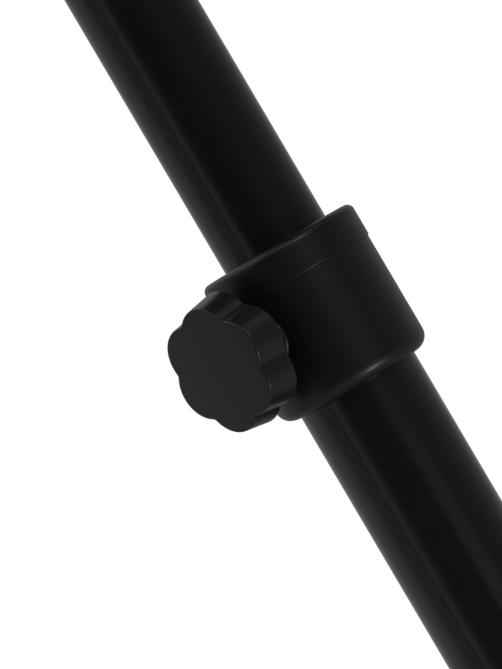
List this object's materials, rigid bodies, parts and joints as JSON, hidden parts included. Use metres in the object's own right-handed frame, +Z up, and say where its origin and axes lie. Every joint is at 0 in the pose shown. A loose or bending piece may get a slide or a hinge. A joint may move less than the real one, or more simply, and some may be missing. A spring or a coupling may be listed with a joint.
{
  "type": "music stand",
  "caption": "Height-adjustable orchestra music stand with a folding tripod base, a telescoping tube mast with knob clamps and a tilting perforated desk.",
  "frame": {"origin": "on the floor, where the mast's axis meets it", "axes": "+Z up along the mast, -Y towards the player, +X to the player's right"},
  "size_m": [0.524, 0.4564, 1.0723],
  "materials": {
    "black_enamel": "glossy black enamel",
    "black_powder_coat": "fine-textured satin black powder coat",
    "moulded_black": "semi-gloss moulded black nylon",
    "knob_black": "satin moulded black plastic",
    "zinc_steel": "bright zinc plate",
    "black_rivet": "black oxide",
    "brass_insert": "turned brass",
    "white_nylon": "natural nylon",
    "black_rubber": "matte rubber"
  },
  "bodies": {
    "root": {"lower_tube": "black_enamel", "clamp_collar": "moulded_black", "collar_cap": "moulded_black", "collar_screw": "zinc_steel", "clamp_insert": "brass_insert", "foot_hub": "moulded_black", "hub_screw": "zinc_steel", "hub_pins": "black_rivet", "tube_plug": "moulded_black"},
    "height_pad": {"clamp_pad": "white_nylon"},
    "height_knob": {"clamp_knob": "knob_black", "clamp_stud": "zinc_steel"},
    "glide": {"glide_bush": "white_nylon"},
    "upper_mast": {"upper_tube": "black_enamel", "head_block": "moulded_black", "head_pin": "zinc_steel", "friction_washers": "white_nylon"},
    "desk": {"desk_plate": "black_powder_coat", "desk_bracket": "black_powder_coat", "desk_rivets": "black_rivet", "tilt_bolt": "zinc_steel"},
    "tilt_spacer": {"tilt_washer": "zinc_steel"},
    "tilt_handle": {"tilt_knob": "knob_black", "tilt_knob_insert": "brass_insert"},
    "leg_slider": {"leg_collar": "moulded_black", "leg_collar_rivets": "black_rivet", "leg_clamp_insert": "brass_insert"},
    "leg_pad": {"leg_clamp_pad": "white_nylon"},
    "leg_knob": {"leg_clamp_knob": "knob_black", "leg_clamp_stud": "zinc_steel"},
    "brace_arm_1": {"brace_1": "black_powder_coat", "brace_1_rivet": "black_rivet"},
    "leg_arm_1": {"leg_1": "black_enamel", "leg_1_eyelet": "zinc_steel", "foot_1": "black_rubber"},
    "brace_arm_2": {"brace_2": "black_powder_coat", "brace_2_rivet": "black_rivet"},
    "leg_arm_2": {"leg_2": "black_enamel", "leg_2_eyelet": "zinc_steel", "foot_2": "black_rubber"},
    "brace_arm_3": {"brace_3": "black_powder_coat", "brace_3_rivet": "black_rivet"},
    "leg_arm_3": {"leg_3": "black_enamel", "leg_3_eyelet": "zinc_steel", "foot_3": "black_rubber"}
  },
  "joints": [
    {"name": "height_slide", "type": "slide", "parent": "root", "child": "glide", "axis": [0, 0, 1], "range_m": [-0.23, 0.2]},
    {"name": "mast_swivel", "type": "hinge", "parent": "glide", "child": "upper_mast", "pos_m": [0, 0, 0.28157], "axis": [0, 0, 1], "continuous": true},
    {"name": "desk_tilt", "type": "hinge", "parent": "upper_mast", "child": "desk", "pos_m": [0, 0, 0.88757], "axis": [-1, 0, 0], "range_deg": [-22, 68]},
    {"name": "tilt_washer_travel", "type": "slide", "parent": "desk", "child": "tilt_spacer", "axis": [1, 0, 0], "range_m": [0, 0.00126]},
    {"name": "tilt_knob_turn", "type": "hinge", "parent": "tilt_spacer", "child": "tilt_handle", "pos_m": [0.024, 0, 0.88757], "axis": [1, 0, 0], "range_deg": [0, 360]},
    {"name": "height_pad_travel", "type": "slide", "parent": "root", "child": "height_pad", "axis": [-1, 0, 0], "range_m": [0, 0.00151]},
    {"name": "height_knob_turn", "type": "hinge", "parent": "height_pad", "child": "height_knob", "pos_m": [-0.024, 0, 0.58487], "axis": [-1, 0, 0], "range_deg": [0, 540]},
    {"name": "leg_pad_travel", "type": "slide", "parent": "leg_slider", "child": "leg_pad", "axis": [-0.866, 0.5, 0], "range_m": [0, 0.00151]},
    {"name": "leg_knob_turn", "type": "hinge", "parent": "leg_pad", "child": "leg_knob", "pos_m": [-0.02252, 0.013, 0.14784], "axis": [-0.866, 0.5, 0], "range_deg": [0, 540]},
    {"name": "leg_collar_travel", "type": "slide", "parent": "root", "child": "leg_slider", "axis": [0, 0, 1], "range_m": [0, 0.13252]},
    {"name": "base_fold", "type": "hinge", "parent": "root", "child": "brace_arm_1", "pos_m": [0, 0.027, 0.03047], "axis": [1, 0, 0], "range_deg": [0, 58]},
    {"name": "leg_1_fold", "type": "hinge", "parent": "brace_arm_1", "child": "leg_arm_1", "pos_m": [0, 0.13737, 0.08916], "axis": [-1, 0, 0], "range_deg": [0, 116]},
    {"name": "brace_2_fold", "type": "hinge", "parent": "root", "child": "brace_arm_2", "pos_m": [-0.02338, -0.0135, 0.03047], "axis": [-0.5, 0.866, 0], "range_deg": [0, 58]},
    {"name": "leg_2_fold", "type": "hinge", "parent": "brace_arm_2", "child": "leg_arm_2", "pos_m": [-0.11897, -0.06868, 0.08916], "axis": [0.5, -0.866, 0], "range_deg": [0, 116]},
    {"name": "brace_3_fold", "type": "hinge", "parent": "root", "child": "brace_arm_3", "pos_m": [0.02338, -0.0135, 0.03047], "axis": [-0.5, -0.866, 0], "range_deg": [0, 58]},
    {"name": "leg_3_fold", "type": "hinge", "parent": "brace_arm_3", "child": "leg_arm_3", "pos_m": [0.11897, -0.06868, 0.08916], "axis": [0.5, 0.866, 0], "range_deg": [0, 116]}
  ],
  "couplings": [
    {"joint": "tilt_washer_travel", "follows": "tilt_knob_turn", "m_per_rad": 0.00019894},
    {"joint": "height_pad_travel", "follows": "height_knob_turn", "m_per_rad": 0.00015915},
    {"joint": "leg_pad_travel", "follows": "leg_knob_turn", "m_per_rad": 0.00015915},
    {"joint": "leg_collar_travel", "follows": "base_fold", "m_per_rad": 0.13042},
    {"joint": "leg_1_fold", "follows": "base_fold", "ratio": 2},
    {"joint": "brace_2_fold", "follows": "base_fold", "ratio": 1},
    {"joint": "leg_2_fold", "follows": "base_fold", "ratio": 2},
    {"joint": "brace_3_fold", "follows": "base_fold", "ratio": 1},
    {"joint": "leg_3_fold", "follows": "base_fold", "ratio": 2}
  ]
}
